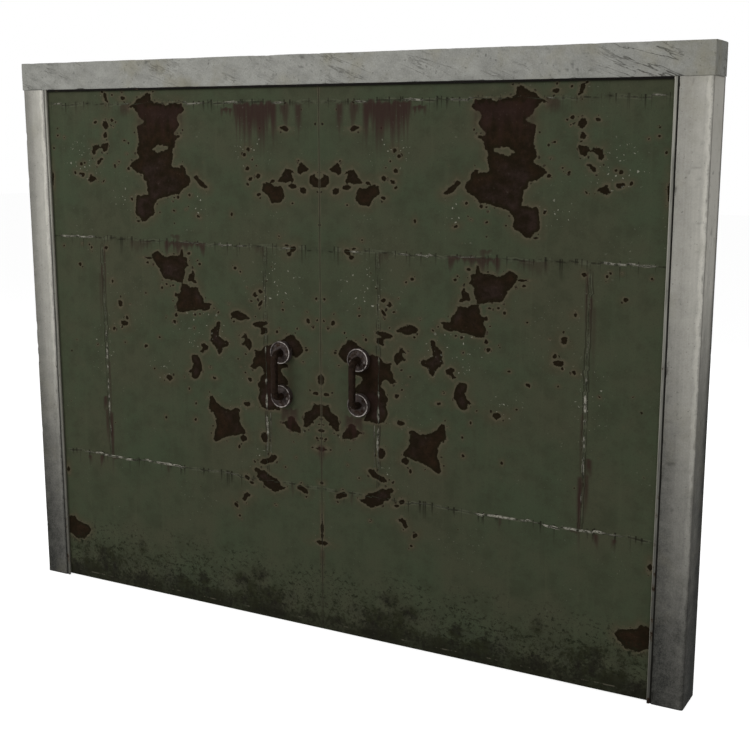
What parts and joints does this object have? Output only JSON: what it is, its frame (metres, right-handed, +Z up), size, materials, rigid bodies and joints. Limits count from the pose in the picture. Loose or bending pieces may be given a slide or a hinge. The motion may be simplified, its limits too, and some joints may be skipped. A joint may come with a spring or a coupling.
{
  "type": "double door",
  "caption": "Rusted olive-painted sheet steel double door with pull handles, hung on lift-off hinges in a concrete frame of jambs and lintel; the leaves swing inward.",
  "frame": {"origin": "middle of the left jamb's foot, on the ground", "axes": "+X along the wall from the left jamb to the right, +Y from the front face to the back, +Z up"},
  "size_m": [3.274, 0.235, 2.524],
  "materials": {
    "jamb_concrete": "weathered concrete",
    "lintel_concrete": "rough weathered concrete",
    "stop_steel": "worn grey paint",
    "leaf_paint": "dark olive paint, rusted through in patches",
    "leaf_frame_steel": "rusted olive paint",
    "hinge_steel": "greased, lightly rusted",
    "handle_iron": "dark rusted iron",
    "rosette_iron": "rusted iron with a worn bright rim"
  },
  "bodies": {
    "frame": {"left_jamb": "jamb_concrete", "right_jamb": "jamb_concrete", "lintel": "lintel_concrete", "left_stop": "stop_steel", "right_stop": "stop_steel", "head_stop": "stop_steel", "left_jamb_hinges": "hinge_steel", "right_jamb_hinges": "hinge_steel"},
    "left_leaf": {"left_top_sheet": "leaf_paint", "left_upper_sheet": "leaf_paint", "left_outer_sheet": "leaf_paint", "left_middle_sheet": "leaf_paint", "left_inner_sheet": "leaf_paint", "left_lower_sheet": "leaf_paint", "left_hinge_stile": "leaf_frame_steel", "left_meeting_stile": "leaf_frame_steel", "left_top_rail": "leaf_frame_steel", "left_bottom_rail": "leaf_frame_steel", "left_upper_rail": "leaf_frame_steel", "left_lower_rail": "leaf_frame_steel", "left_outer_stiffener": "leaf_frame_steel", "left_inner_stiffener": "leaf_frame_steel", "left_leaf_hinges": "hinge_steel", "left_handle": "handle_iron", "left_rosettes": "rosette_iron"},
    "right_leaf": {"right_top_sheet": "leaf_paint", "right_upper_sheet": "leaf_paint", "right_outer_sheet": "leaf_paint", "right_middle_sheet": "leaf_paint", "right_inner_sheet": "leaf_paint", "right_lower_sheet": "leaf_paint", "right_hinge_stile": "leaf_frame_steel", "right_meeting_stile": "leaf_frame_steel", "right_top_rail": "leaf_frame_steel", "right_bottom_rail": "leaf_frame_steel", "right_upper_rail": "leaf_frame_steel", "right_lower_rail": "leaf_frame_steel", "right_outer_stiffener": "leaf_frame_steel", "right_inner_stiffener": "leaf_frame_steel", "right_leaf_hinges": "hinge_steel", "right_handle": "handle_iron", "right_rosettes": "rosette_iron"}
  },
  "joints": [
    {"name": "left_leaf_swing", "type": "hinge", "parent": "frame", "child": "left_leaf", "pos_m": [0.0775, -0.01, 1.2], "axis": [0, 0, 1], "range_deg": [0, 95]},
    {"name": "right_leaf_swing", "type": "hinge", "parent": "frame", "child": "right_leaf", "pos_m": [3.0675, -0.01, 1.2], "axis": [0, 0, -1], "range_deg": [0, 95]}
  ]
}
